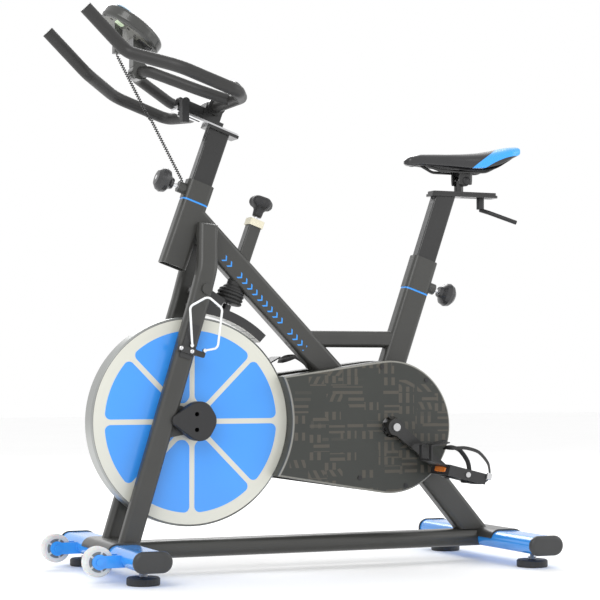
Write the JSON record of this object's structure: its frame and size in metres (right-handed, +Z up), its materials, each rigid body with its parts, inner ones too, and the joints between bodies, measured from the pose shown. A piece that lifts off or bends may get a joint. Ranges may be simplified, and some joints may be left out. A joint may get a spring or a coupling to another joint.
{
  "type": "exercise bike",
  "caption": "Indoor cycle with a belt-driven flywheel, magnetic brake arm, sliding handlebar and saddle posts, and tilting transport wheels",
  "frame": {"origin": "on the floor under the middle of the bike, midway between the two stabilisers", "axes": "+X from handlebar to saddle, +Y to the rider's right, +Z up"},
  "size_m": [1.1177, 0.562, 1.2466],
  "materials": {
    "frame_paint": "satin charcoal powder coat",
    "blue_paint": "gloss sky blue powder coat",
    "gloss_black": "gloss black powder coat",
    "bright_steel": "zinc plated and brushed steel",
    "flywheel_metal": "machined rim, printed blue and cream face",
    "pulley_metal": "turned aluminium",
    "black_plastic": "moulded black plastic",
    "guard_plastic": "dark guard with a tonal pattern",
    "cap_plastic": "cream plastic",
    "button_plastic": "grey keys",
    "black_rubber": "black rubber",
    "bar_sleeve": "dipped soft black coating over tube",
    "clear_tyre": "translucent pale polyurethane",
    "white_wire": "white coated wire",
    "saddle_vinyl": "black vinyl with a blue band"
  },
  "bodies": {
    "frame": {"front_stabiliser": "blue_paint", "rear_stabiliser": "blue_paint", "end_caps": "black_plastic", "stabiliser_brackets": "frame_paint", "base_rail": "frame_paint", "left_fork_leg": "frame_paint", "right_fork_leg": "frame_paint", "head_tube": "frame_paint", "main_tube": "frame_paint", "seat_tube": "frame_paint", "top_tube": "frame_paint", "rear_leg": "frame_paint", "bottom_bracket_shell": "frame_paint", "bearings": "bright_steel", "post_collars": "frame_paint", "tension_post": "frame_paint", "tension_cap": "cap_plastic", "bellows": "black_rubber", "wheel_brackets": "blue_paint", "left_guard": "guard_plastic", "right_guard": "guard_plastic", "guard_screws": "bright_steel", "hub_cover": "black_plastic", "fork_pins": "frame_paint", "bottle_cage": "white_wire", "drive_belt": "black_rubber", "console_lead_lower": "black_rubber"},
    "flywheel": {"flywheel": "flywheel_metal", "flywheel_pulley": "pulley_metal"},
    "crankset": {"crank_axle": "bright_steel", "drive_pulley": "pulley_metal", "left_crank_arm": "frame_paint", "right_crank_arm": "frame_paint", "pedal_axles": "bright_steel"},
    "left_pedal": {"left_pedal": "black_plastic"},
    "right_pedal": {"right_pedal": "black_plastic"},
    "handlebar_post": {"handlebar_post": "gloss_black", "slide_rail": "bright_steel"},
    "handlebar_carriage": {"handlebar_carriage": "gloss_black", "handlebar": "bar_sleeve", "console": "black_plastic", "console_lead_upper": "black_rubber"},
    "handlebar_lever": {"handlebar_lever": "black_plastic"},
    "mode_button": {"mode_button": "button_plastic"},
    "reset_button": {"reset_button": "button_plastic"},
    "seat_post": {"seat_post": "gloss_black"},
    "seat_carriage": {"seat_carriage": "gloss_black"},
    "saddle": {"saddle": "saddle_vinyl"},
    "seat_lever": {"seat_lever": "gloss_black"},
    "handlebar_pin": {"handlebar_pin_knob": "black_plastic"},
    "seat_pin": {"seat_pin_knob": "black_plastic"},
    "tension_rod": {"tension_rod": "bright_steel"},
    "tension_knob": {"tension_knob": "black_plastic"},
    "brake_arm": {"brake_arm": "frame_paint"},
    "left_transport_wheel": {"left_transport_wheel": "clear_tyre"},
    "right_transport_wheel": {"right_transport_wheel": "clear_tyre"},
    "front_left_foot": {"front_left_foot": "black_plastic"},
    "front_right_foot": {"front_right_foot": "black_plastic"},
    "rear_left_foot": {"rear_left_foot": "black_plastic"},
    "rear_right_foot": {"rear_right_foot": "black_plastic"}
  },
  "joints": [
    {"name": "flywheel_spin", "type": "hinge", "parent": "frame", "child": "flywheel", "pos_m": [-0.2686, 0, 0.3316], "axis": [0, 1, 0], "continuous": true},
    {"name": "crank_spin", "type": "hinge", "parent": "frame", "child": "crankset", "pos_m": [0.1995, 0, 0.3155], "axis": [0, 1, 0], "continuous": true},
    {"name": "left_pedal_spin", "type": "hinge", "parent": "crankset", "child": "left_pedal", "pos_m": [0.33273, 0, 0.20991], "axis": [0, 1, 0], "continuous": true},
    {"name": "right_pedal_spin", "type": "hinge", "parent": "crankset", "child": "right_pedal", "pos_m": [0.06627, 0, 0.42109], "axis": [0, 1, 0], "continuous": true},
    {"name": "handlebar_height", "type": "slide", "parent": "frame", "child": "handlebar_post", "axis": [0.3338, 0, 0.9426], "range_m": [-0.03, 0.09]},
    {"name": "handlebar_reach", "type": "slide", "parent": "handlebar_post", "child": "handlebar_carriage", "axis": [0.9426, 0, -0.3338], "range_m": [-0.004, 0.036]},
    {"name": "handlebar_lever_turn", "type": "hinge", "parent": "handlebar_carriage", "child": "handlebar_lever", "pos_m": [-0.28594, -0.03, 1.03781], "axis": [0, 1, 0], "range_deg": [0, 100]},
    {"name": "mode_press", "type": "slide", "parent": "handlebar_carriage", "child": "mode_button", "axis": [-0.5878, 0, -0.809], "range_m": [0, 0.0015], "stiffness_N_per_m": 300},
    {"name": "reset_press", "type": "slide", "parent": "handlebar_carriage", "child": "reset_button", "axis": [-0.5878, 0, -0.809], "range_m": [0, 0.0015], "stiffness_N_per_m": 300},
    {"name": "seat_height", "type": "slide", "parent": "frame", "child": "seat_post", "axis": [0.3256, 0, 0.9455], "range_m": [-0.1, 0.08]},
    {"name": "seat_reach", "type": "slide", "parent": "seat_post", "child": "seat_carriage", "axis": [1, 0, 0], "range_m": [-0.03, 0.024]},
    {"name": "saddle_tilt", "type": "hinge", "parent": "seat_carriage", "child": "saddle", "pos_m": [0.4229, 0, 0.8933], "axis": [0, 1, 0], "range_deg": [-10, 10]},
    {"name": "seat_lever_turn", "type": "hinge", "parent": "seat_carriage", "child": "seat_lever", "pos_m": [0.4729, 0, 0.84], "axis": [0, 0, 1], "range_deg": [-20, 100]},
    {"name": "handlebar_pin_pull", "type": "slide", "parent": "frame", "child": "handlebar_pin", "axis": [-0.9426, 0, 0.3338], "range_m": [0, 0.01], "stiffness_N_per_m": 1500},
    {"name": "seat_pin_pull", "type": "slide", "parent": "frame", "child": "seat_pin", "axis": [0.9455, 0, -0.3256], "range_m": [0, 0.01], "stiffness_N_per_m": 1500},
    {"name": "brake_push", "type": "slide", "parent": "frame", "child": "tension_rod", "axis": [-0.3338, 0, -0.9426], "range_m": [0, 0.003], "stiffness_N_per_m": 4000},
    {"name": "resistance_turn", "type": "hinge", "parent": "tension_rod", "child": "tension_knob", "pos_m": [-0.1321, 0, 0.706], "axis": [0.3338, 0, 0.9426], "range_deg": [-720, 720]},
    {"name": "brake_arm_pivot", "type": "hinge", "parent": "frame", "child": "brake_arm", "pos_m": [-0.2481, 0, 0.622], "axis": [0, 1, 0], "range_deg": [-0.5, 3]},
    {"name": "left_wheel_spin", "type": "hinge", "parent": "frame", "child": "left_transport_wheel", "pos_m": [-0.5211, 0, 0.047], "axis": [0, 1, 0], "continuous": true},
    {"name": "right_wheel_spin", "type": "hinge", "parent": "frame", "child": "right_transport_wheel", "pos_m": [-0.5211, 0, 0.047], "axis": [0, 1, 0], "continuous": true},
    {"name": "front_left_foot_turn", "type": "hinge", "parent": "frame", "child": "front_left_foot", "pos_m": [-0.4371, -0.211, 0], "axis": [0, 0, 1], "range_deg": [-720, 720]},
    {"name": "front_right_foot_turn", "type": "hinge", "parent": "frame", "child": "front_right_foot", "pos_m": [-0.4371, 0.211, 0], "axis": [0, 0, 1], "range_deg": [-720, 720]},
    {"name": "rear_left_foot_turn", "type": "hinge", "parent": "frame", "child": "rear_left_foot", "pos_m": [0.4869, -0.211, 0], "axis": [0, 0, 1], "range_deg": [-720, 720]},
    {"name": "rear_right_foot_turn", "type": "hinge", "parent": "frame", "child": "rear_right_foot", "pos_m": [0.4869, 0.211, 0], "axis": [0, 0, 1], "range_deg": [-720, 720]}
  ],
  "couplings": [
    {"joint": "crank_spin", "follows": "flywheel_spin", "ratio": 0.30435},
    {"joint": "brake_arm_pivot", "follows": "brake_push", "rad_per_m": 12.3}
  ]
}
